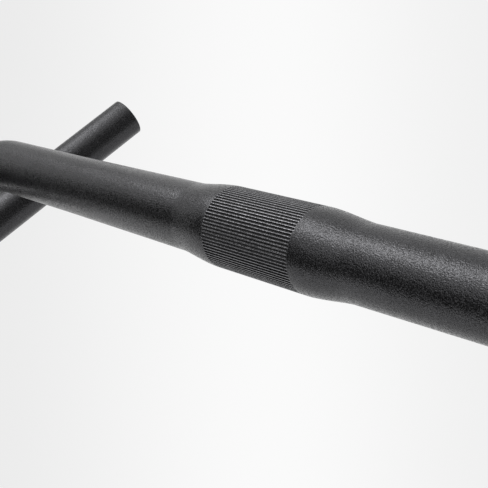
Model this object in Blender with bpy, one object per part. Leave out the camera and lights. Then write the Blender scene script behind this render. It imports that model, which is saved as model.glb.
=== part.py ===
"""Gravel drop handlebar: one bent, butted aluminium tube with a knurled clamp bulge.

Metres. X runs along the tops (+X is the rider's right), the rider sits at +Y, +Z is up.
The origin is the centre of the stem clamp, and the ramps are level.
"""
import math

import bmesh
import bpy
from mathutils import Vector

# Outside diameters, from the clamp out to the bar end
CLAMP_DIAMETER = 0.0318
TOP_INNER_DIAMETER = 0.0277
TOP_OUTER_DIAMETER = 0.0266
DROP_DIAMETER = 0.0240

# Walls of the butted tube
CLAMP_WALL = 0.0021
TOP_WALL = 0.0014
END_WALL = 0.0017
END_BUTT_LENGTH = 0.060

# Lengths along the tops, from the clamp's centre
BULGE_HALF_LENGTH = 0.0225
TAPER_LENGTH = 0.0225
SWAGE_LENGTH = 0.085

# Bends and straights from the tops to the bar end
HOOD_WIDTH = 0.450
CORNER_RADIUS = 0.037
RAMP_LENGTH = 0.010
HOOK_RADIUS = 0.0355
HOOK_FRONT_LENGTH = 0.002
DROP_STRAIGHT = 0.149
FLARE = math.radians(47)
DROP_TOE_IN = math.radians(8)
DROP_SLOPE = math.radians(3)

# Knurl: straight splines round the bulge
SPLINE_COUNT = 80
SPLINE_DEPTH = 0.00035
SPLINE_CREST_SHARE = 0.30
SPLINE_ROOT_SHARE = 0.20
KNURL_END_LAND = 0.0005

# Fineness of the faceted tube
TUBE_BEVEL_RESOLUTION = 14
BORE_BEVEL_RESOLUTION = 8
BEND_STEP = math.radians(9)
TAPER_STEPS = 8
TOP_STEPS = 2

# Cutters reach this far past what they cut
CUTTER_OVERSHOOT = 0.003
WELD_DISTANCE = 0.00001

OUTWARD = Vector((1, 0, 0))
FORWARD = Vector((0, -1, 0))
HOOK_DIRECTION = Vector((math.sin(FLARE), 0, -math.cos(FLARE)))
DROP_DIRECTION = Vector((
    -math.sin(DROP_TOE_IN),
    math.cos(DROP_TOE_IN) * math.cos(DROP_SLOPE),
    -math.cos(DROP_TOE_IN) * math.sin(DROP_SLOPE),
))
TOP_STRAIGHT = HOOD_WIDTH / 2 - CORNER_RADIUS
TAPER_END = BULGE_HALF_LENGTH + TAPER_LENGTH


class Centreline:
    """The path of one half of the bar, grown straight by straight and bend by bend."""

    def __init__(self, start, direction):
        self.position = start.copy()
        self.direction = direction.normalized()
        self.length = 0.0
        self.stations = [(start.copy(), 0.0)]

    def straight(self, length, marks=()):
        """Run on for a length, with a station at each mark and at the end."""
        start = self.position.copy()
        for distance in [*marks, length]:
            place = start + self.direction * distance
            self.stations.append((place, self.length + distance))
        self.position = start + self.direction * length
        self.length += length

    def bend(self, new_direction, radius):
        """Turn to a new direction on an arc that is tangent at both ends."""
        new_direction = new_direction.normalized()
        turn = self.direction.angle(new_direction)
        inward = (new_direction - self.direction * self.direction.dot(new_direction)).normalized()
        centre = self.position + inward * radius
        steps = max(1, round(turn / BEND_STEP))
        for step in range(1, steps + 1):
            angle = turn * step / steps
            spoke = self.direction * math.sin(angle) - inward * math.cos(angle)
            self.stations.append((centre + spoke * radius, self.length + angle * radius))
        self.position = self.stations[-1][0].copy()
        self.direction = new_direction
        self.length += turn * radius


def smooth_share(value, start, end):
    """Share of the way from start to end, eased at both ends."""
    share = min(max((value - start) / (end - start), 0.0), 1.0)
    return share * share * (3 - 2 * share)


def between(first, second, share):
    return first + (second - first) * share


def half_path():
    """Right half of the centreline: tops, corner, ramp, flared hook and drop."""
    path = Centreline(Vector((0, 0, 0)), OUTWARD)
    taper_marks = [
        between(BULGE_HALF_LENGTH, TAPER_END, step / TAPER_STEPS) for step in range(TAPER_STEPS + 1)
    ]
    top_marks = [
        TAPER_END + SWAGE_LENGTH * step / TOP_STEPS for step in range(1, TOP_STEPS + 1)
    ]
    path.straight(TOP_STRAIGHT, taper_marks + top_marks)
    path.bend(FORWARD, CORNER_RADIUS)
    path.straight(RAMP_LENGTH)
    path.bend(HOOK_DIRECTION, HOOK_RADIUS)
    path.straight(HOOK_FRONT_LENGTH)
    path.bend(DROP_DIRECTION, HOOK_RADIUS)
    path.straight(DROP_STRAIGHT, [DROP_STRAIGHT - END_BUTT_LENGTH])
    return path


def outer_radius(distance, hook_start):
    """Outside radius at a distance along the tube from the clamp's centre."""
    clamp = CLAMP_DIAMETER / 2
    inner = TOP_INNER_DIAMETER / 2
    outer = TOP_OUTER_DIAMETER / 2
    drop = DROP_DIAMETER / 2
    if distance <= TAPER_END:
        return between(clamp, inner, smooth_share(distance, BULGE_HALF_LENGTH, TAPER_END))
    if distance <= TOP_STRAIGHT:
        swage = min((distance - TAPER_END) / SWAGE_LENGTH, 1.0)
        return between(inner, outer, swage)
    return between(outer, drop, smooth_share(distance, TOP_STRAIGHT, hook_start))


def wall(distance, end_distance):
    """Wall at a distance along the tube: thick at the clamp and the end, thin between."""
    butt = smooth_share(distance, end_distance - END_BUTT_LENGTH, end_distance)
    if butt > 0:
        return between(TOP_WALL, END_WALL, butt)
    return between(CLAMP_WALL, TOP_WALL, smooth_share(distance, BULGE_HALF_LENGTH, TAPER_END))


def whole_stations(half):
    """Stations of the whole bar, from the left end to the right one."""
    left = [(Vector((-place.x, place.y, place.z)), along) for place, along in half[:0:-1]]
    return left + half[1:]


def make_tube(name, stations, radii, resolution):
    """A round tube along the stations, as a closed mesh with welded caps."""
    curve = bpy.data.curves.new(name, "CURVE")
    curve.dimensions = "3D"
    curve.bevel_depth = radii[0]
    curve.bevel_resolution = resolution
    curve.use_fill_caps = True
    spline = curve.splines.new("POLY")
    spline.points.add(len(stations) - 1)
    for point, (place, _), radius in zip(spline.points, stations, radii):
        point.co = (*place, 1)
        point.radius = radius / radii[0]
    return curve_to_mesh(name, curve)


def curve_to_mesh(name, curve):
    """Turn a curve into a mesh object and weld its loose caps."""
    guide = bpy.data.objects.new(name + "_curve", curve)
    bpy.context.scene.collection.objects.link(guide)
    bpy.context.view_layer.update()
    evaluated = guide.evaluated_get(bpy.context.evaluated_depsgraph_get())
    mesh = bpy.data.meshes.new_from_object(evaluated)
    mesh.name = name
    work = bmesh.new()
    work.from_mesh(mesh)
    bmesh.ops.remove_doubles(work, verts=work.verts, dist=WELD_DISTANCE)
    work.to_mesh(mesh)
    work.free()
    body = bpy.data.objects.new(name, mesh)
    body.matrix_world = guide.matrix_world.copy()
    bpy.data.objects.remove(guide)
    return body


def spline_outline():
    """Toothed outline of the knurl in its own plane: a crest, a flank, a root and a flank a tooth."""
    crest = CLAMP_DIAMETER / 2
    root = crest - SPLINE_DEPTH
    pitch = 2 * math.pi / SPLINE_COUNT
    outline = []
    for tooth in range(SPLINE_COUNT):
        middle = tooth * pitch
        for share, radius in (
            (-SPLINE_CREST_SHARE / 2, crest),
            (SPLINE_CREST_SHARE / 2, crest),
            (0.5 - SPLINE_ROOT_SHARE / 2, root),
            (0.5 + SPLINE_ROOT_SHARE / 2, root),
        ):
            angle = middle + share * pitch
            outline.append((radius * math.cos(angle), radius * math.sin(angle)))
    return outline


def make_knurl_cutter(cutters):
    """A ring with the splines' outline inside, which leaves the teeth when it cuts the bulge."""
    curve = bpy.data.curves.new("knurl_cutter", "CURVE")
    curve.dimensions = "2D"
    curve.fill_mode = "BOTH"
    curve.extrude = BULGE_HALF_LENGTH - KNURL_END_LAND
    rim = CLAMP_DIAMETER / 2 + CUTTER_OVERSHOOT
    corners = 4
    square = [
        (rim * math.sqrt(2) * math.cos(math.pi / corners + 2 * math.pi * step / corners),
         rim * math.sqrt(2) * math.sin(math.pi / corners + 2 * math.pi * step / corners))
        for step in range(corners)
    ]
    for outline in (square, spline_outline()):
        spline = curve.splines.new("POLY")
        spline.points.add(len(outline) - 1)
        for point, (across, up) in zip(spline.points, outline):
            point.co = (across, up, 0, 1)
        spline.use_cyclic_u = True
    cutter = curve_to_mesh("knurl_cutter", curve)
    cutter.rotation_euler = (0, math.pi / 2, 0)
    as_cutter(cutter, cutters)
    return cutter


def as_cutter(body, cutters):
    cutters.objects.link(body)
    body.hide_render = True
    body.display_type = "WIRE"


def cut(body, cutter):
    """Subtract a cutter from a body with a Boolean that stays on the body."""
    boolean = body.modifiers.new(cutter.name, "BOOLEAN")
    boolean.operation = "DIFFERENCE"
    boolean.solver = "EXACT"
    boolean.object = cutter


def anodised_black():
    """Bead-blasted, black anodised aluminium."""
    material = bpy.data.materials.new("black_anodised_aluminium")
    material.use_nodes = True
    shader = material.node_tree.nodes["Principled BSDF"]
    shader.inputs["Base Color"].default_value = (0.035, 0.035, 0.037, 1)
    shader.inputs["Roughness"].default_value = 0.45
    shader.inputs["Metallic"].default_value = 0.4
    return material


def make_handlebar(parts, cutters):
    """The whole bar: outer tube, bore through it and splines round its bulge."""
    half = half_path()
    stations = whole_stations(half.stations)
    hook_start = TOP_STRAIGHT + math.pi / 2 * CORNER_RADIUS + RAMP_LENGTH
    outer = [outer_radius(along, hook_start) for _, along in stations]
    bar = make_tube("handlebar", stations, outer, TUBE_BEVEL_RESOLUTION)
    parts.objects.link(bar)

    bore_half = list(half.stations)
    bore_half.append((half.position + half.direction * CUTTER_OVERSHOOT, half.length))
    bore_stations = whole_stations(bore_half)
    inner = [
        outer_radius(along, hook_start) - wall(along, half.length) for _, along in bore_stations
    ]
    bore = make_tube("bore_cutter", bore_stations, inner, BORE_BEVEL_RESOLUTION)
    as_cutter(bore, cutters)

    cut(bar, make_knurl_cutter(cutters))
    cut(bar, bore)
    bar.data.materials.clear()
    bar.data.materials.append(anodised_black())
    bar.data.shade_smooth()
    bar.data.set_sharp_from_angle(angle=math.radians(30))
    return bar


def main():
    for item in list(bpy.data.objects):
        bpy.data.objects.remove(item)
    parts = bpy.data.collections.new("gravel_drop_handlebar")
    cutters = bpy.data.collections.new("cutters")
    bpy.context.scene.collection.children.link(parts)
    bpy.context.scene.collection.children.link(cutters)
    make_handlebar(parts, cutters)


main()
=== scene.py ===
"""Gravel drop handlebar: its fine tube, knurl and anodised skin, in a pale studio.

Metres, in the part's own frame: X along the tops (+X is the rider's right), the rider at +Y,
+Z up, and the origin at the centre of the stem clamp.
"""

import logging
import math
from dataclasses import dataclass, field
from enum import Enum

import bpy
import numpy as np
from mathutils import Matrix, Vector


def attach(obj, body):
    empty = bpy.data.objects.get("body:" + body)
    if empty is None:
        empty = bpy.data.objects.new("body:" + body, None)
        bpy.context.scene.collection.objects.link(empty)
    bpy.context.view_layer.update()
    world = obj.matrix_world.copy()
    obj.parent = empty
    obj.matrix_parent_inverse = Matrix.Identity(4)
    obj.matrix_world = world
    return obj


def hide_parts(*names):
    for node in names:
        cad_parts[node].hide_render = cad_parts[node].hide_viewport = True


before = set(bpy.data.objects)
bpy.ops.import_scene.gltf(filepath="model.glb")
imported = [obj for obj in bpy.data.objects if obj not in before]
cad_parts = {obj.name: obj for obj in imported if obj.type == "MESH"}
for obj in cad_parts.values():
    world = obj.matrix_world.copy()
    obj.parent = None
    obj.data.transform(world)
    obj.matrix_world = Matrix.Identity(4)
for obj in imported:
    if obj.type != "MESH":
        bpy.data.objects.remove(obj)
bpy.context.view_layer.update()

LOG = logging.getLogger("handlebar")
BODY = "root"
CAD_NODE = "handlebar"
PIECE_NAME = "handlebar_tube"


class Region(Enum):
    """The stretches of the tube's surface that have a finish of their own, by material slot."""

    SKIN = 0
    KNURL = 1
    CUT_END = 2
    BORE = 3


class Side(Enum):
    """The two halves of the bar, as the sign of X."""

    LEFT = -1
    RIGHT = 1


class Course(Enum):
    """How a shader's value runs from one end of a range to the other, as Blender names it."""

    STRAIGHT = "LINEAR"
    EASED = "SMOOTHSTEP"


def between(first: float, second: float, share: float) -> float:
    """Value that lies the given share of the way from first to second."""
    return first + (second - first) * share


def eased(value: float, start: float, end: float) -> float:
    """Share of the way from start to end, from 0 to 1 and level at both ends."""
    share = min(max((value - start) / (end - start), 0.0), 1.0)
    return share * share * (3 - 2 * share)


def grey(level: float) -> tuple[float, float, float, float]:
    """Opaque grey of the given level."""
    return (level, level, level, 1.0)


def add_object(name: str, data: bpy.types.ID) -> bpy.types.Object:
    """Add an object to the scene.

    Args:
        name: Name of the object.
        data: Its mesh, lamp or camera.

    Returns:
        The new object.
    """
    thing = bpy.data.objects.new(name, data)
    bpy.context.scene.collection.objects.link(thing)
    return thing


def add_sheet(
    name: str, width: float, height: float, material: bpy.types.Material
) -> bpy.types.Object:
    """Add a flat rectangular sheet that faces up.

    Args:
        name: Name of the sheet.
        width: Its length in X.
        height: Its length in Y.
        material: What it is made of.

    Returns:
        The new sheet, with its middle at the origin.
    """
    x, y = width / 2, height / 2
    mesh = bpy.data.meshes.new(name)
    mesh.from_pydata([(-x, -y, 0), (x, -y, 0), (x, y, 0), (-x, y, 0)], [], [(0, 1, 2, 3)])
    mesh.materials.append(material)
    return add_object(name, mesh)


@dataclass(frozen=True)
class TubeSizes:
    """Diameters, walls and lengths of the butted tube, out from the clamp's centre.

    Each taper meets the tops in a slight crease, just short of the taper's full length.
    """

    clamp_diameter: float = 0.0318
    top_inner_diameter: float = 0.0277
    top_outer_diameter: float = 0.0266
    drop_diameter: float = 0.0240
    clamp_wall: float = 0.0021
    top_wall: float = 0.0014
    end_wall: float = 0.0017
    end_butt_length: float = 0.060
    bulge_half_length: float = 0.0225
    taper_length: float = 0.0225
    crease_length: float = 0.0205
    crease_angle: float = math.radians(4.3)
    swage_length: float = 0.085

    @property
    def taper_end(self) -> float:
        """Distance from the clamp's centre at which the taper ends and the swage starts."""
        return self.bulge_half_length + self.taper_length

    def taper_radius(self, along: float) -> float:
        """Outside radius of the taper, level at the bulge and slightly creased at the tops.

        Args:
            along: Distance from the clamp's centre.

        Returns:
            The radius, which is that of the tops from the crease on.
        """
        drop = (self.clamp_diameter - self.top_inner_diameter) / 2
        slope = math.tan(self.crease_angle) * self.crease_length / drop
        past = min(max(along - self.bulge_half_length, 0.0), self.crease_length)
        left = 1 - past / self.crease_length
        # A cubic that starts level at the bulge and ends on the crease's slope
        rise = left * (slope + left * (3 - 2 * slope - left * (2 - slope)))
        return self.top_inner_diameter / 2 + drop * rise


@dataclass(frozen=True)
class BendSizes:
    """Straights and bends from the tops to the bar end."""

    hood_width: float = 0.450
    corner_radius: float = 0.037
    ramp_length: float = 0.010
    hook_radius: float = 0.0355
    hook_front_length: float = 0.002
    drop_straight: float = 0.149
    flare: float = math.radians(47)
    drop_toe_in: float = math.radians(8)
    drop_slope: float = math.radians(3)

    @property
    def top_straight(self) -> float:
        """Length of the tops from the clamp's centre to the corner bend."""
        return self.hood_width / 2 - self.corner_radius

    @property
    def hook_start(self) -> float:
        """Distance along the tube from the clamp's centre to the hook's bend."""
        return self.top_straight + math.pi / 2 * self.corner_radius + self.ramp_length

    @property
    def ramp_direction(self) -> Vector:
        """Direction of the ramp, level and straight away from the rider."""
        return Vector((0, -1, 0))

    @property
    def hook_direction(self) -> Vector:
        """Direction of the hook's front, which the flare tips outward."""
        return Vector((math.sin(self.flare), 0, -math.cos(self.flare)))

    @property
    def drop_direction(self) -> Vector:
        """Direction of the drop, back towards the rider, slightly in and down.

        Returns:
            The direction, one unit long.
        """
        level = math.cos(self.drop_toe_in)
        return Vector((
            -math.sin(self.drop_toe_in),
            level * math.cos(self.drop_slope),
            -level * math.sin(self.drop_slope),
        ))


@dataclass(frozen=True)
class Knurl:
    """Straight splines pressed into the bulge, with slightly uneven ends.

    Attributes:
        count: Number of splines round the bulge.
        depth: Depth of the grooves below the crests.
        crest_share: Width of a crest, as a share of the pitch.
        root_share: Width of a groove's floor, as a share of the pitch.
        shoulder_share: Width of a rounded edge, as a share of the pitch.
        shoulder_drop: Height of a rounded edge.
        half_length: Distance of the longest grooves' ends from the clamp's centre.
        run_out: Length over which a groove rises to the surface.
        end_spread: Most by which a groove ends early.
        end_land: Smooth length past the grooves that is as finely divided as they are.
        rings_between: Number of rings between the grooves' ends.
        seed: Start of the random draw of the grooves' ends.
    """

    count: int = 80
    depth: float = 0.00035
    crest_share: float = 0.30
    root_share: float = 0.20
    shoulder_share: float = 0.05
    shoulder_drop: float = 0.00003
    half_length: float = 0.0220
    run_out: float = 0.00028
    end_spread: float = 0.00016
    end_land: float = 0.00022
    rings_between: int = 5
    seed: int = 76

    def tooth(self) -> list[tuple[float, float]]:
        """Outline of one spline, from its crest to the floor of the groove after it.

        Returns:
            Share of the pitch from the crest's middle, and depth below the crest.
        """
        crest = self.crest_share / 2
        root = 0.5 - self.root_share / 2
        rounding = self.shoulder_share
        return [
            (-crest, self.shoulder_drop),
            (-crest + rounding, 0.0),
            (crest - rounding, 0.0),
            (crest, self.shoulder_drop),
            (root - rounding, self.depth - self.shoulder_drop),
            (root, self.depth),
            (1 - root, self.depth),
            (1 - root + rounding, self.depth - self.shoulder_drop),
        ]

    @property
    def sides(self) -> int:
        """Number of vertices in a ring round the knurl."""
        return self.count * len(self.tooth())

    def angles(self) -> np.ndarray:
        """Angle of each vertex of a ring round the knurl.

        Returns:
            The angles, spline by spline.
        """
        shares = np.array([share for share, _ in self.tooth()])
        whole = np.arange(self.count)[:, None] + shares[None, :]
        return (whole * 2 * math.pi / self.count).ravel()

    def depths(self) -> np.ndarray:
        """Depth below the crest of each vertex of a ring round the knurl."""
        return np.tile([depth for _, depth in self.tooth()], self.count)

    def end_offsets(self, side: Side) -> np.ndarray:
        """Uneven distance by which each groove ends early, for each vertex of a ring.

        Args:
            side: The half of the bar that the end is on.

        Returns:
            One distance for each vertex, the same for all that belong to a groove.
        """
        draw = np.random.default_rng(self.seed + side.value)
        after = draw.uniform(0.0, self.end_spread, self.count)
        before = np.roll(after, 1)
        # The first quarter of a spline's vertices belongs to the groove before it
        quarter = len(self.tooth()) // 4
        rest = len(self.tooth()) - quarter
        return np.column_stack([before] * quarter + [after] * rest).ravel()


@dataclass(frozen=True)
class Station:
    """A place on the centreline and the two directions that its ring is drawn in."""

    place: Vector
    along: float
    across: Vector
    lift: Vector


@dataclass
class Centreline:
    """Path of the bar's right half, grown straight by straight and bend by bend."""

    place: Vector = field(default_factory=lambda: Vector((0, 0, 0)))
    direction: Vector = field(default_factory=lambda: Vector((1, 0, 0)))
    across: Vector = field(default_factory=lambda: Vector((0, 1, 0)))
    along: float = 0.0
    stations: list[Station] = field(default_factory=list)

    def mark(self) -> None:
        """Note a station at the place that the path has reached."""
        lift = self.direction.cross(self.across)
        self.stations.append(Station(self.place.copy(), self.along, self.across.copy(), lift))

    def straight(self, length: float, steps: int = 1) -> None:
        """Run straight on.

        Args:
            length: Length of the straight.
            steps: Number of stations along it, the last at its end.
        """
        for _ in range(steps):
            self.place += self.direction * (length / steps)
            self.along += length / steps
            self.mark()

    def bend(self, new_direction: Vector, radius: float, step: float) -> None:
        """Turn on an arc that is tangent at both ends.

        Args:
            new_direction: Direction in which the arc leaves.
            radius: Radius of the centreline in the bend.
            step: Largest angle between two stations.
        """
        turn = self.direction.angle(new_direction)
        axis = self.direction.cross(new_direction).normalized()
        centre = self.place + axis.cross(self.direction) * radius
        steps = math.ceil(turn / step)
        little = Matrix.Rotation(turn / steps, 3, axis)
        for _ in range(steps):
            self.place = centre + little @ (self.place - centre)
            self.direction = (little @ self.direction).normalized()
            self.across = (little @ self.across).normalized()
            self.along += turn * radius / steps
            self.mark()


@dataclass
class Stocking:
    """Rings of vertices, each joined to the one before, that close on themselves."""

    points: list[np.ndarray] = field(default_factory=list)
    faces: list[tuple[int, ...]] = field(default_factory=list)
    regions: list[int] = field(default_factory=list)
    rings: list[range] = field(default_factory=list)

    def add_ring(self, points: np.ndarray, region: Region) -> None:
        """Add a ring and join it to the last one.

        Args:
            points: The ring's vertices, in order round the tube.
            region: Finish of the band between this ring and the last one.
        """
        start = self.rings[-1].stop if self.rings else 0
        self.points.append(points)
        self.rings.append(range(start, start + len(points)))
        if len(self.rings) > 1:
            self.join(self.rings[-2], self.rings[-1], region)

    def close(self, region: Region) -> None:
        """Join the last ring to the first one."""
        self.join(self.rings[-1], self.rings[0], region)

    def join(self, first: range, second: range, region: Region) -> None:
        """Fill the band between two rings, of which one may be some times finer.

        Args:
            first: Vertex numbers of the ring that the band leaves.
            second: Vertex numbers of the ring that the band reaches.
            region: Finish of the band.
        """
        before = len(self.faces)
        if len(first) == len(second):
            self.faces += [
                (first[i - 1], first[i], second[i], second[i - 1]) for i in range(len(first))
            ]
        elif len(first) > len(second):
            self.fan(second, first, finer_first=True)
        else:
            self.fan(first, second, finer_first=False)
        self.regions += [region.value] * (len(self.faces) - before)

    def fan(self, coarse: range, fine: range, finer_first: bool) -> None:
        """Fill the band between a coarse ring and a fine one with fans of triangles.

        Args:
            coarse: Vertex numbers of the coarse ring.
            fine: Vertex numbers of the fine ring.
            finer_first: Whether the band runs from the fine ring to the coarse one.
        """
        times = len(fine) // len(coarse)
        middle = times // 2
        for i in range(len(coarse)):
            near, far = coarse[i], coarse[(i + 1) % len(coarse)]
            edge = [fine[(times * i + k) % len(fine)] for k in range(times + 1)]
            fans = [(edge[k], edge[k + 1], near if k < middle else far) for k in range(times)]
            fans.append((edge[middle], far, near))
            if not finer_first:
                fans = [triangle[::-1] for triangle in fans]
            self.faces += fans

    def to_mesh(self, name: str, sharp_above: float) -> bpy.types.Mesh:
        """Make the mesh, shaded smooth with its sharp edges marked.

        Args:
            name: Name of the mesh.
            sharp_above: Angle between faces above which their edge is sharp.

        Returns:
            The finished mesh.
        """
        mesh = bpy.data.meshes.new(name)
        mesh.from_pydata(np.concatenate(self.points).tolist(), [], self.faces)
        mesh.polygons.foreach_set("material_index", self.regions)
        mesh.validate()
        mesh.shade_smooth()
        mesh.set_sharp_from_angle(angle=sharp_above)
        return mesh


class ShaderTree:
    """A node tree with short ways to add and link its nodes."""

    # Most of a noise's values lie in this range
    NOISE_LOW = 0.32
    NOISE_HIGH = 0.68

    def __init__(self, tree: bpy.types.NodeTree) -> None:
        """Take over a node tree.

        Args:
            tree: The material's, world's or group's tree.
        """
        self.tree = tree

    def node(self, kind: str, **settings: object) -> bpy.types.Node:
        """Add a node.

        Args:
            kind: Type of the node, without the words ShaderNode.
            settings: Properties of the node, by name.

        Returns:
            The new node.
        """
        node = self.tree.nodes.new("ShaderNode" + kind)
        for name, value in settings.items():
            setattr(node, name, value)
        return node

    def link(self, source: bpy.types.NodeSocket, target: bpy.types.NodeSocket) -> None:
        """Link an output to an input."""
        self.tree.links.new(source, target)

    def give(self, socket: bpy.types.NodeSocket, value: object) -> None:
        """Set an input to a plain value, or link it to another node's output.

        Args:
            socket: The input.
            value: The value or the output.
        """
        if isinstance(value, bpy.types.NodeSocket):
            self.link(value, socket)
        else:
            socket.default_value = value

    def feed(self, node: bpy.types.Node, **values: object) -> bpy.types.Node:
        """Fill a node's inputs from values or from other nodes' outputs.

        Args:
            node: The node to fill.
            values: Input names, with an underscore for each space, and what they take.

        Returns:
            The same node.
        """
        for name, value in values.items():
            self.give(node.inputs[name.replace("_", " ")], value)
        return node

    def place(self) -> bpy.types.NodeSocket:
        """Output that holds the place on the object, in metres."""
        return self.node("TexCoord").outputs["Object"]

    def noise(
        self, place: bpy.types.NodeSocket, size: object, detail: float
    ) -> bpy.types.NodeSocket:
        """Noise with lumps of a given frequency.

        Args:
            place: Coordinates that the noise is read at.
            size: Lumps in a metre, or the output that gives it.
            detail: Number of finer layers.

        Returns:
            The output that holds the noise.
        """
        node = self.feed(self.node("TexNoise"), Vector=place, Scale=size, Detail=detail)
        return node.outputs["Fac"]

    def maths(self, operation: str, *values: object) -> bpy.types.NodeSocket:
        """Calculate with numbers.

        Args:
            operation: Name of the operation.
            values: The terms, in order.

        Returns:
            The output that holds the result.
        """
        node = self.node("Math", operation=operation)
        for socket, value in zip(node.inputs, values):
            self.give(socket, value)
        return node.outputs["Value"]

    def vectors(self, operation: str, *values: object) -> bpy.types.NodeOutputs:
        """Calculate with vectors.

        Args:
            operation: Name of the operation.
            values: The terms, in order.

        Returns:
            The outputs, of which Vector or Value holds the result.
        """
        node = self.node("VectorMath", operation=operation)
        for socket, value in zip(node.inputs, values):
            self.give(socket, value)
        return node.outputs

    def scaled(self, colour: object, scale: bpy.types.NodeSocket) -> bpy.types.NodeSocket:
        """Output that holds a colour multiplied by a number."""
        node = self.node("VectorMath", operation="SCALE")
        return self.feed(node, Vector=colour, Scale=scale).outputs["Vector"]

    def map_range(
        self,
        value: bpy.types.NodeSocket,
        start: float,
        end: float,
        low: float = 0.0,
        high: float = 1.0,
        course: Course = Course.STRAIGHT,
    ) -> bpy.types.NodeSocket:
        """Carry a value from one range over to another, and hold it at both ends.

        Args:
            value: The output that holds the value.
            start: Value that becomes low.
            end: Value that becomes high.
            low: Result up to the start.
            high: Result from the end on.
            course: How the result runs between them.

        Returns:
            The output that holds the result.
        """
        node = self.node("MapRange", interpolation_type=course.value)
        self.feed(node, Value=value, From_Min=start, From_Max=end, To_Min=low, To_Max=high)
        return node.outputs["Result"]

    def spread(self, noise: bpy.types.NodeSocket, low: float, high: float) -> bpy.types.NodeSocket:
        """Stretch the middle of a noise over a new range."""
        return self.map_range(noise, self.NOISE_LOW, self.NOISE_HIGH, low, high)

    def ramp(
        self, value: bpy.types.NodeSocket, stops: tuple[tuple[float, float], ...]
    ) -> bpy.types.NodeSocket:
        """Turn a value into a grey, on a smooth curve through the stops.

        Args:
            value: Value between 0 and 1.
            stops: Places between 0 and 1, and the grey at each.

        Returns:
            The output that holds the grey.
        """
        node = self.feed(self.node("ValToRGB"), Fac=value)
        node.color_ramp.interpolation = "CARDINAL"
        elements = node.color_ramp.elements
        # A new element's own place doesn't matter, because the stops give it another
        while len(elements) < len(stops):
            elements.new(0.5)
        for element, (place, level) in zip(elements, stops):
            element.position = place
            element.color = grey(level)
        return node.outputs["Color"]


class BlastedGrain:
    """Node group of a bead-blasted surface: fine dimples, grains that glint and specks of tone."""

    NAME = "blasted_grain"
    INPUTS = (
        ("Base Tone", "NodeSocketColor"),
        ("Grains Per Metre", "NodeSocketFloat"),
        ("Tone Spread", "NodeSocketFloat"),
        ("Base Roughness", "NodeSocketFloat"),
        ("Roughness Spread", "NodeSocketFloat"),
        ("Dimple Depth", "NodeSocketFloat"),
    )
    OUTPUTS = (
        ("Tone", "NodeSocketColor"),
        ("Roughness", "NodeSocketFloat"),
        ("Normal", "NodeSocketVector"),
    )
    SPECKS_A_GRAIN = 2.0
    DIMPLE_DETAIL = 0.3
    CLOUDS_PER_METRE = 55.0
    CLOUD_DETAIL = 3.0
    CLOUD_SPREAD = 0.06
    DARKEST_SPECK = 0.15

    def __init__(self) -> None:
        """Build the group once for all the finishes that use it."""
        self.group = bpy.data.node_groups.new(self.NAME, "ShaderNodeTree")
        for name, kind in self.INPUTS:
            self.group.interface.new_socket(name=name, in_out="INPUT", socket_type=kind)
        for name, kind in self.OUTPUTS:
            self.group.interface.new_socket(name=name, in_out="OUTPUT", socket_type=kind)
        self.tree = ShaderTree(self.group)
        self.given = self.group.nodes.new("NodeGroupInput").outputs
        self.place = self.tree.place()
        result = self.group.nodes.new("NodeGroupOutput").inputs
        self.tree.link(self.tone(), result["Tone"])
        self.tree.link(self.roughness(), result["Roughness"])
        self.tree.link(self.normal(), result["Normal"])

    def noise(self, fineness: object, detail: float = 0.0) -> bpy.types.NodeSocket:
        """Output that holds a noise over the surface."""
        return self.tree.noise(self.place, fineness, detail)

    def tone(self) -> bpy.types.NodeSocket:
        """Speckle the tone finely and cloud it faintly.

        Returns:
            The output that holds the tone.
        """
        tree, given = self.tree, self.given
        finer = tree.maths("MULTIPLY", given["Grains Per Metre"], self.SPECKS_A_GRAIN)
        specks = tree.spread(self.noise(finer), -1.0, 1.0)
        speckled = tree.maths("MULTIPLY_ADD", specks, given["Tone Spread"], 1.0)
        clouds = self.noise(self.CLOUDS_PER_METRE, self.CLOUD_DETAIL)
        cloudy = tree.spread(clouds, 1 - self.CLOUD_SPREAD, 1 + self.CLOUD_SPREAD)
        strength = tree.maths("MULTIPLY", speckled, cloudy)
        held = tree.maths("MAXIMUM", strength, self.DARKEST_SPECK)
        return tree.scaled(given["Base Tone"], held)

    def roughness(self) -> bpy.types.NodeSocket:
        """Vary the roughness from grain to grain, so that the smoother ones glint.

        Returns:
            The output that holds the roughness.
        """
        tree, given = self.tree, self.given
        grains = tree.spread(self.noise(given["Grains Per Metre"]), -1.0, 1.0)
        return tree.maths(
            "MULTIPLY_ADD", grains, given["Roughness Spread"], given["Base Roughness"]
        )

    def normal(self) -> bpy.types.NodeSocket:
        """Dimple the surface.

        Returns:
            The output that holds the normal.
        """
        tree, given = self.tree, self.given
        dimples = self.noise(given["Grains Per Metre"], self.DIMPLE_DETAIL)
        bump = tree.feed(
            tree.node("Bump"), Strength=1.0, Distance=given["Dimple Depth"], Height=dimples
        )
        return bump.outputs["Normal"]


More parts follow.
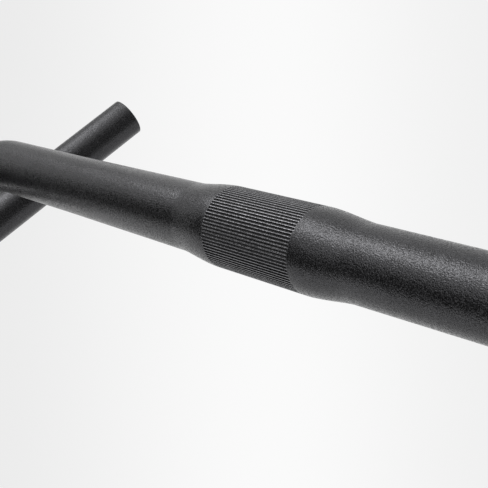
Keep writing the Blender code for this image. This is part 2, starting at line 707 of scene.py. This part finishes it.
@dataclass(frozen=True)
class GrooveShade:
    """Painted shade in the knurl's grooves and a painted highlight on its crests, set by distance
    from the axis.

    Attributes:
        crest_radius: Distance of the crests from the bar's axis.
        shade_depth: Depth below the crests at which the painted shade is full.
        groove_shade: Strength of the painted shade in the grooves, where the plain skin's tone is
            1.
        crest_highlight: Strength of the painted highlight on the crests.
    """

    ACROSS = (0.0, 1.0, 1.0)

    crest_radius: float = TubeSizes.clamp_diameter / 2
    shade_depth: float = 0.00005
    groove_shade: float = 0.25
    crest_highlight: float = 3.7

    def tone(self, tree: ShaderTree, tone: tuple[float, float, float]) -> bpy.types.NodeSocket:
        """Paint shade into a tone in the grooves and a highlight on the crests, by distance from
        the bar's axis.

        Args:
            tree: Tree of the knurl's material.
            tone: Tone of the plain skin.

        Returns:
            The output that holds the shaded tone.
        """
        from_axis = tree.vectors("MULTIPLY", tree.place(), self.ACROSS)["Vector"]
        # Tone runs from painted shade at the groove floors to a painted highlight on the crests
        strength = tree.map_range(
            tree.vectors("LENGTH", from_axis)["Value"],
            self.crest_radius - self.shade_depth,
            self.crest_radius,
            self.groove_shade,
            self.crest_highlight,
        )
        return tree.scaled(tone, strength)


@dataclass(frozen=True)
class AnodisedFinish:
    """Black anodised aluminium over a surface with its own grain.

    Attributes:
        name: Name of the material.
        grooves: Painted shade in the grooves and painted highlight on the crests, where the
            surface has any.
        tone: Colour of the metal under its dye.
        metallic: How far the surface reflects as a metal does.
        roughness: Middle roughness.
        roughness_spread: Most by which a grain's roughness differs from it.
        tone_spread: Most by which a speck's tone differs, as a share of the tone.
        grains_per_metre: Fineness of the grain.
        dimple_depth: Depth of the dimples.
    """

    name: str
    grooves: GrooveShade | None = None
    tone: tuple[float, float, float] = (0.060, 0.060, 0.063)
    metallic: float = 0.85
    roughness: float = 0.28
    roughness_spread: float = 0.19
    tone_spread: float = 0.62
    grains_per_metre: float = 2150.0
    dimple_depth: float = 0.00012

    def material(self, grain: BlastedGrain) -> bpy.types.Material:
        """Make the material.

        Args:
            grain: The node group of the blasted surface.

        Returns:
            The new material.
        """
        material = bpy.data.materials.new(self.name)
        material.use_nodes = True
        tree = ShaderTree(material.node_tree)
        # A knurl's tone carries painted shade in its grooves and a painted highlight on its crests
        tone = self.grooves.tone(tree, self.tone) if self.grooves else (*self.tone, 1.0)
        surface = tree.feed(
            tree.node("Group", node_tree=grain.group),
            Base_Tone=tone,
            Grains_Per_Metre=self.grains_per_metre,
            Tone_Spread=self.tone_spread,
            Base_Roughness=self.roughness,
            Roughness_Spread=self.roughness_spread,
            Dimple_Depth=self.dimple_depth,
        )
        tree.feed(
            material.node_tree.nodes["Principled BSDF"],
            Base_Color=surface.outputs["Tone"],
            Metallic=self.metallic,
            Roughness=surface.outputs["Roughness"],
            Normal=surface.outputs["Normal"],
        )
        return material


FINISHES = {
    Region.SKIN: AnodisedFinish("blasted_black_skin"),
    # The knurl's tone has painted shade in its grooves and a painted highlight on its crests
    Region.KNURL: AnodisedFinish("blasted_black_knurl", grooves=GrooveShade(), tone_spread=0.25),
    Region.CUT_END: AnodisedFinish(
        "cut_black_end", roughness=0.34, tone_spread=0.10, dimple_depth=0.00001
    ),
    Region.BORE: AnodisedFinish(
        "drawn_black_bore",
        tone=(0.045, 0.045, 0.047),
        roughness=0.50,
        tone_spread=0.20,
        grains_per_metre=900.0,
        dimple_depth=0.00004,
    ),
}


@dataclass(frozen=True)
class Handlebar:
    """The bar itself: one bent, butted tube, drawn fine enough for a close look.

    Attributes:
        tube: Diameters, walls and lengths of the tube.
        bends: Straights and bends of its centreline.
        knurl: Splines round its bulge.
        skin_sides_a_spline: Vertices round the plain skin for each spline of the knurl.
        taper_rings: Rings along a taper, up to its crease.
        crease_rings: Rings from there to the taper's end.
        swage_rings: Rings along the swaged stretch of the tops.
        top_rings: Rings along the rest of the tops.
        ramp_rings: Rings along a ramp.
        drop_rings: Rings along a drop.
        bend_step: Largest angle between two rings of a bend.
        end_chamfer: Width of the broken edges at the bar ends.
        sharp_above: Angle between faces above which their edge is sharp.
    """

    tube: TubeSizes = TubeSizes()
    bends: BendSizes = BendSizes()
    knurl: Knurl = Knurl()
    skin_sides_a_spline: int = 2
    taper_rings: int = 24
    crease_rings: int = 4
    swage_rings: int = 8
    top_rings: int = 6
    ramp_rings: int = 2
    drop_rings: int = 12
    bend_step: float = math.radians(3)
    end_chamfer: float = 0.00025
    sharp_above: float = math.radians(38)

    @property
    def skin_sides(self) -> int:
        """Number of vertices in a ring of the plain skin."""
        return self.knurl.count * self.skin_sides_a_spline

    @property
    def bore_sides(self) -> int:
        """Number of vertices in a ring of the bore."""
        return self.knurl.count

    def half_path(self) -> Centreline:
        """Draw the centreline of the right half, with its first station at the bulge's end.

        Returns:
            The centreline, up to the bar end.
        """
        tube, bends = self.tube, self.bends
        path = Centreline()
        path.straight(tube.bulge_half_length)
        path.straight(tube.crease_length, self.taper_rings)
        path.straight(tube.taper_length - tube.crease_length, self.crease_rings)
        path.straight(tube.swage_length, self.swage_rings)
        path.straight(bends.top_straight - path.along, self.top_rings)
        path.bend(bends.ramp_direction, bends.corner_radius, self.bend_step)
        path.straight(bends.ramp_length, self.ramp_rings)
        path.bend(bends.hook_direction, bends.hook_radius, self.bend_step)
        path.straight(bends.hook_front_length)
        path.bend(bends.drop_direction, bends.hook_radius, self.bend_step)
        path.straight(bends.drop_straight - self.end_chamfer, self.drop_rings)
        path.straight(self.end_chamfer)
        return path

    def outer_radius(self, along: float) -> float:
        """Outside radius of the tube.

        Args:
            along: Distance along the tube from the clamp's centre.

        Returns:
            The radius, without the knurl.
        """
        tube, bends = self.tube, self.bends
        inner, outer = tube.top_inner_diameter / 2, tube.top_outer_diameter / 2
        if along <= tube.taper_end:
            return tube.taper_radius(along)
        if along <= bends.top_straight:
            return between(inner, outer, min((along - tube.taper_end) / tube.swage_length, 1.0))
        drawn = eased(along, bends.top_straight, bends.hook_start)
        return between(outer, tube.drop_diameter / 2, drawn)

    def bore_radius(self, along: float, length: float) -> float:
        """Radius of the bore, inside a wall that is thick at the clamp and at the bar end.

        Args:
            along: Distance along the tube from the clamp's centre.
            length: Distance along the tube from the clamp's centre to the bar end.

        Returns:
            The radius.
        """
        tube = self.tube
        butt = eased(along, length - tube.end_butt_length, length)
        if butt > 0:
            wall = between(tube.top_wall, tube.end_wall, butt)
        else:
            thinned = eased(along, tube.bulge_half_length, tube.taper_end)
            wall = between(tube.clamp_wall, tube.top_wall, thinned)
        return self.outer_radius(along) - wall

    def circle(self, station: Station, radius: float, sides: int, side: Side) -> np.ndarray:
        """Ring of vertices round a station.

        Args:
            station: Place on the right half's centreline.
            radius: Radius of the ring.
            sides: Number of vertices.
            side: Half of the bar that the ring is on.

        Returns:
            The vertices, mirrored in X for the left half.
        """
        angles = np.arange(sides) * 2 * math.pi / sides
        ring = np.array(station.place) + radius * (
            np.cos(angles)[:, None] * np.array(station.across)
            + np.sin(angles)[:, None] * np.array(station.lift)
        )
        return ring * (side.value, 1, 1)

    def knurl_ring(self, reach: np.ndarray, depths: np.ndarray, side: Side) -> np.ndarray:
        """Ring of vertices round the knurl, each at its own distance and depth.

        Args:
            reach: Distance of each vertex from the clamp's centre.
            depths: Depth of each vertex below the crests.
            side: Half of the bar that the ring is on.

        Returns:
            The vertices.
        """
        radii = self.tube.clamp_diameter / 2 - depths
        angles = self.knurl.angles()
        return np.column_stack(
            (reach * side.value, radii * np.cos(angles), radii * np.sin(angles))
        )

    def add_knurl_end(self, stocking: Stocking, side: Side) -> None:
        """Add the rings at one end of the knurl, from the left to the right.

        Args:
            stocking: The surface that the rings go to.
            side: Half of the bar that the end is on.
        """
        knurl = self.knurl
        level = np.zeros(knurl.sides)
        groove_end = knurl.half_length - knurl.end_offsets(side)
        # A ring's region is that of the band on its left
        left_of_groove_end = Region.SKIN if side is Side.LEFT else Region.KNURL
        rings = [
            (level + knurl.half_length + knurl.end_land, level, Region.SKIN),
            (groove_end, level, left_of_groove_end),
            (groove_end - knurl.run_out, knurl.depths(), Region.KNURL),
        ]
        for reach, depths, region in rings[::-side.value]:
            stocking.add_ring(self.knurl_ring(reach, depths, side), region)

    def add_knurl(self, stocking: Stocking) -> None:
        """Add the knurl from its left end to its right one.

        Args:
            stocking: The surface that the rings go to.
        """
        knurl = self.knurl
        self.add_knurl_end(stocking, Side.LEFT)
        # One run-out further in than the innermost of the grooves' ends
        inner = knurl.half_length - 2 * knurl.run_out - knurl.end_spread
        for reach in np.linspace(-inner, inner, knurl.rings_between):
            places = np.full(knurl.sides, reach)
            stocking.add_ring(self.knurl_ring(places, knurl.depths(), Side.RIGHT), Region.KNURL)
        self.add_knurl_end(stocking, Side.RIGHT)

    def add_end_rims(self, stocking: Stocking, tip: Station, side: Side) -> None:
        """Add the cut face at one bar end, with both its edges broken.

        Args:
            stocking: The surface that the rings go to.
            tip: The last station of the right half.
            side: Half of the bar that the end is on.
        """
        outer = self.outer_radius(tip.along) - self.end_chamfer
        inner = self.bore_radius(tip.along, tip.along) + self.end_chamfer
        rims = [(outer, self.skin_sides), (inner, self.bore_sides)]
        for radius, sides in rims[::side.value]:
            stocking.add_ring(self.circle(tip, radius, sides, side), Region.CUT_END)

    def add_skin(self, stocking: Stocking, stations: list[Station], side: Side) -> None:
        """Add the outer rings of one half, from the left to the right.

        Args:
            stocking: The surface that the rings go to.
            stations: The right half's stations, but for the last.
            side: Half of the bar that the rings are on.
        """
        for station in stations[::side.value]:
            ring = self.circle(station, self.outer_radius(station.along), self.skin_sides, side)
            stocking.add_ring(ring, Region.SKIN)

    def add_bore(
        self, stocking: Stocking, stations: list[Station], length: float, side: Side
    ) -> None:
        """Add the bore's rings of one half, from the right to the left.

        Args:
            stocking: The surface that the rings go to.
            stations: The right half's stations, but for the last.
            length: Distance along the tube from the clamp's centre to the bar end.
            side: Half of the bar that the rings are on.
        """
        for station in stations[::-side.value]:
            radius = self.bore_radius(station.along, length)
            ring = self.circle(station, radius, self.bore_sides, side)
            stocking.add_ring(ring, Region.BORE)

    def mesh(self) -> bpy.types.Mesh:
        """Draw the whole bar as one closed surface: along the skin, and back down the bore.

        Returns:
            The bar's mesh.
        """
        stations = self.half_path().stations
        tip, inside = stations[-1], stations[:-1]
        stocking = Stocking()
        self.add_skin(stocking, inside, Side.LEFT)
        self.add_knurl(stocking)
        self.add_skin(stocking, inside, Side.RIGHT)
        self.add_end_rims(stocking, tip, Side.RIGHT)
        self.add_bore(stocking, inside, tip.along, Side.RIGHT)
        self.add_bore(stocking, inside, tip.along, Side.LEFT)
        self.add_end_rims(stocking, tip, Side.LEFT)
        stocking.close(Region.CUT_END)
        return stocking.to_mesh(PIECE_NAME, self.sharp_above)

    def build(self, grain: BlastedGrain) -> bpy.types.Object:
        """Make the bar, dress it and tie it to the frame.

        Args:
            grain: The node group of the blasted surface.

        Returns:
            The finished bar.
        """
        piece = add_object(PIECE_NAME, self.mesh())
        for region in Region:
            piece.data.materials.append(FINISHES[region].material(grain))
        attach(piece, BODY)
        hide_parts(CAD_NODE)
        return piece


@dataclass(frozen=True)
class Softbox:
    """A rectangular lamp with a soft face, hung over the bar and facing straight down."""

    name: str
    place: tuple[float, float, float]
    length: float
    width: float
    turn: float
    radiance: float

    def build(self) -> None:
        """Hang the lamp, its length turned away from the line of the tops."""
        lamp = bpy.data.lights.new(self.name, "AREA")
        lamp.shape = "RECTANGLE"
        lamp.size = self.length
        lamp.size_y = self.width
        lamp.energy = self.radiance * math.pi * self.length * self.width
        holder = add_object(self.name, lamp)
        holder.location = self.place
        holder.rotation_euler = (0, 0, self.turn)


@dataclass(frozen=True)
class Card:
    """A card beside the bar, which only the bar's reflections show."""

    name: str
    place: tuple[float, float, float]
    width: float
    height: float
    glow: float
    tone: float = 0.02

    def material(self) -> bpy.types.Material:
        """Make the card's dull paper, which glows a little.

        Returns:
            The new material.
        """
        material = bpy.data.materials.new(self.name)
        material.use_nodes = True
        ShaderTree(material.node_tree).feed(
            material.node_tree.nodes["Principled BSDF"],
            Base_Color=grey(self.tone),
            Roughness=1.0,
            Emission_Color=grey(1.0),
            Emission_Strength=self.glow,
        )
        return material

    def build(self) -> None:
        """Stand the card up, facing the bar."""
        card = add_sheet(self.name, self.width, self.height, self.material())
        card.location = self.place
        card.rotation_euler = (-Vector(self.place)).to_track_quat("Z", "Y").to_euler()
        card.visible_camera = False
        card.visible_shadow = False


@dataclass(frozen=True)
class FloorGlow:
    """White of the paper floor with a painted beam of light: a little brighter along the beam than
    on both its sides.

    Attributes:
        foot: Place from which the beam fans out.
        first_angle: Direction of the fan's first edge, from +X towards +Y.
        last_angle: Direction of the fan's last edge.
        greys: Greys across the fan, each at its share of the way from edge to edge.
        middle: Middle of the lit stretch of the floor.
        level: Grey of the floor away from it.
        fade_start: Distance from the middle at which the beam starts to fade.
        fade_end: Distance from the middle at which it is gone.
    """

    foot: tuple[float, float, float] = (0.512, -1.155, 0.0)
    first_angle: float = math.radians(98)
    last_angle: float = math.radians(173)
    greys: tuple[tuple[float, float], ...] = (
        (0.0, 0.95),
        (0.27, 0.90),
        (0.43, 0.99),
        (0.65, 0.86),
        (1.0, 0.95),
    )
    middle: tuple[float, float, float] = (-1.5, 0.6, 0.0)
    level: float = 0.95
    fade_start: float = 1.7
    fade_end: float = 2.6

    def colour(self, tree: ShaderTree) -> bpy.types.NodeSocket:
        """Grey of the floor with its painted beam of light, by its direction from the beam's foot.

        Args:
            tree: Tree of the floor's material.

        Returns:
            The output that holds the grey.
        """
        place = tree.place()
        from_foot = tree.vectors("SUBTRACT", place, self.foot)["Vector"]
        parts = tree.feed(tree.node("SeparateXYZ"), Vector=from_foot).outputs
        angle = tree.maths("ARCTAN2", parts["Y"], parts["X"])
        # Painted beam of light: greys across the fan, brightest in the beam
        beam = tree.ramp(tree.map_range(angle, self.first_angle, self.last_angle), self.greys)
        distance = tree.vectors("DISTANCE", place, self.middle)["Value"]
        faded = tree.map_range(distance, self.fade_start, self.fade_end, course=Course.EASED)
        mix = tree.feed(tree.node("MixRGB"), Fac=faded, Color1=beam, Color2=grey(self.level))
        return mix.outputs["Color"]


@dataclass(frozen=True)
class Studio:
    """Pale floor far below the bar, a pale surround, a softbox and a few cards.

    Attributes:
        floor_drop: Depth of the floor below the clamp's centre.
        floor_width: Length of each side of the floor.
        backdrop: Grey that the surround shows.
        fill: Grey that the surround lights the bar with.
        floor_tone: Grey of the floor's paper under the lamp.
        floor_glow_share: Share of the floor's look that is its own glow.
        floor_glow: The glow itself, with its painted beam of light.
        lamps: Lamps over the bar.
        cards: Cards beside the bar.
    """

    floor_drop: float = 0.80
    floor_width: float = 24.0
    backdrop: float = 0.92
    fill: float = 0.45
    floor_tone: float = 0.80
    floor_glow_share: float = 0.93
    floor_glow: FloorGlow = FloorGlow()
    lamps: tuple[Softbox, ...] = (
        Softbox(
            "strip_softbox",
            place=(-0.93, 0.40, 1.0),
            length=1.7,
            width=0.58,
            turn=math.radians(-23),
            radiance=3.0,
        ),
    )
    cards: tuple[Card, ...] = (
        Card("front_dark_card", place=(-0.52, -0.67, 0.36), width=1.4, height=0.70, glow=0.05),
        Card("right_dark_card", place=(0.85, 0.10, 0.20), width=1.1, height=1.8, glow=0.13),
        Card(
            "left_grey_card",
            place=(-0.886, 0.2375, 0.246),
            width=0.50,
            height=0.70,
            glow=0.32,
            tone=0.5,
        ),
    )

    def seen_directly(self, tree: ShaderTree) -> bpy.types.NodeSocket:
        """Mask of the rays that show the background: camera, mirror and glass rays.

        Args:
            tree: Tree of the floor's material or of the world.

        Returns:
            The output that holds the mask.
        """
        path = tree.node("LightPath").outputs
        shiny = tree.maths("MAXIMUM", path["Is Glossy Ray"], path["Is Transmission Ray"])
        return tree.maths("MAXIMUM", path["Is Camera Ray"], shiny)

    def build_world(self) -> None:
        """Surround the bar with a pale background and a dimmer fill light."""
        world = bpy.data.worlds.new("studio_surround")
        world.use_nodes = True
        tree = ShaderTree(world.node_tree)
        world.node_tree.nodes.clear()
        lighting = tree.feed(tree.node("Background"), Color=grey(self.fill))
        shown = tree.feed(tree.node("Background"), Color=grey(self.backdrop))
        mix = tree.feed(tree.node("MixShader"), Fac=self.seen_directly(tree))
        tree.link(lighting.outputs["Background"], mix.inputs[1])
        tree.link(shown.outputs["Background"], mix.inputs[2])
        tree.feed(tree.node("OutputWorld"), Surface=mix.outputs["Shader"])
        bpy.context.scene.world = world

    def floor_material(self) -> bpy.types.Material:
        """Pale paper that shows nearly white and still takes the bar's shadow.

        Returns:
            The new material.
        """
        material = bpy.data.materials.new("pale_floor")
        material.use_nodes = True
        tree = ShaderTree(material.node_tree)
        material.node_tree.nodes.clear()
        paper = tree.feed(tree.node("BsdfDiffuse"), Color=grey(self.floor_tone))
        glow = tree.feed(tree.node("Emission"), Color=self.floor_glow.colour(tree))
        share = tree.maths("MULTIPLY", self.seen_directly(tree), self.floor_glow_share)
        mix = tree.feed(tree.node("MixShader"), Fac=share)
        tree.link(paper.outputs["BSDF"], mix.inputs[1])
        tree.link(glow.outputs["Emission"], mix.inputs[2])
        tree.feed(tree.node("OutputMaterial"), Surface=mix.outputs["Shader"])
        return material

    def build_floor(self) -> None:
        """Lay the floor."""
        width = self.floor_width
        floor = add_sheet("studio_floor", width, width, self.floor_material())
        floor.location = (0, 0, -self.floor_drop)

    def build(self) -> None:
        """Set up the whole studio."""
        self.build_world()
        self.build_floor()
        for item in (*self.lamps, *self.cards):
            item.build()
        bpy.context.scene.view_settings.view_transform = "Standard"


@dataclass(frozen=True)
class PhotoCamera:
    """The photograph's camera: close in front of the right top, looking down along the bar.

    Attributes:
        place: Where it stands.
        heading: Direction that it looks in, from +X towards +Y.
        pitch: Angle by which it looks up.
        roll: Angle by which it is turned about its line of sight.
        lens: Focal length in millimetres.
        sensor_width: Width of its sensor in millimetres.
        nearest: Distance at which it starts to see.
        farthest: Distance at which it stops.
    """

    place: tuple[float, float, float] = (0.22355, -0.13269, 0.19786)
    heading: float = math.radians(151.553)
    pitch: float = math.radians(-36.585)
    roll: float = math.radians(31.49)
    lens: float = 66.5
    sensor_width: float = 36.0
    nearest: float = 0.01
    farthest: float = 60.0

    def build(self) -> bpy.types.Object:
        """Place the camera and make it the scene's own.

        Returns:
            The new camera.
        """
        level = math.cos(self.pitch)
        forward = Vector((
            level * math.cos(self.heading),
            level * math.sin(self.heading),
            math.sin(self.pitch),
        ))
        level_right = forward.cross(Vector((0, 0, 1))).normalized()
        right = Matrix.Rotation(self.roll, 3, forward) @ level_right
        up = right.cross(forward)
        data = bpy.data.cameras.new("photo_camera")
        data.lens = self.lens
        data.sensor_width = self.sensor_width
        data.clip_start = self.nearest
        data.clip_end = self.farthest
        camera = add_object("photo_camera", data)
        axes = Matrix((right, up, -forward)).transposed()
        camera.matrix_world = Matrix.Translation(self.place) @ axes.to_4x4()
        bpy.context.scene.camera = camera
        return camera


def main() -> None:
    """Build the camera, the bar and the studio, and report each piece."""
    logging.basicConfig(level=logging.INFO, format="%(name)s: %(message)s")
    camera = PhotoCamera().build()
    LOG.info("camera at %s", tuple(round(value, 4) for value in camera.location))
    piece = Handlebar().build(BlastedGrain())
    LOG.info("%s: %d faces", piece.name, len(piece.data.polygons))
    Studio().build()
    LOG.info("studio lit")


if __name__ == "__main__":
    main()
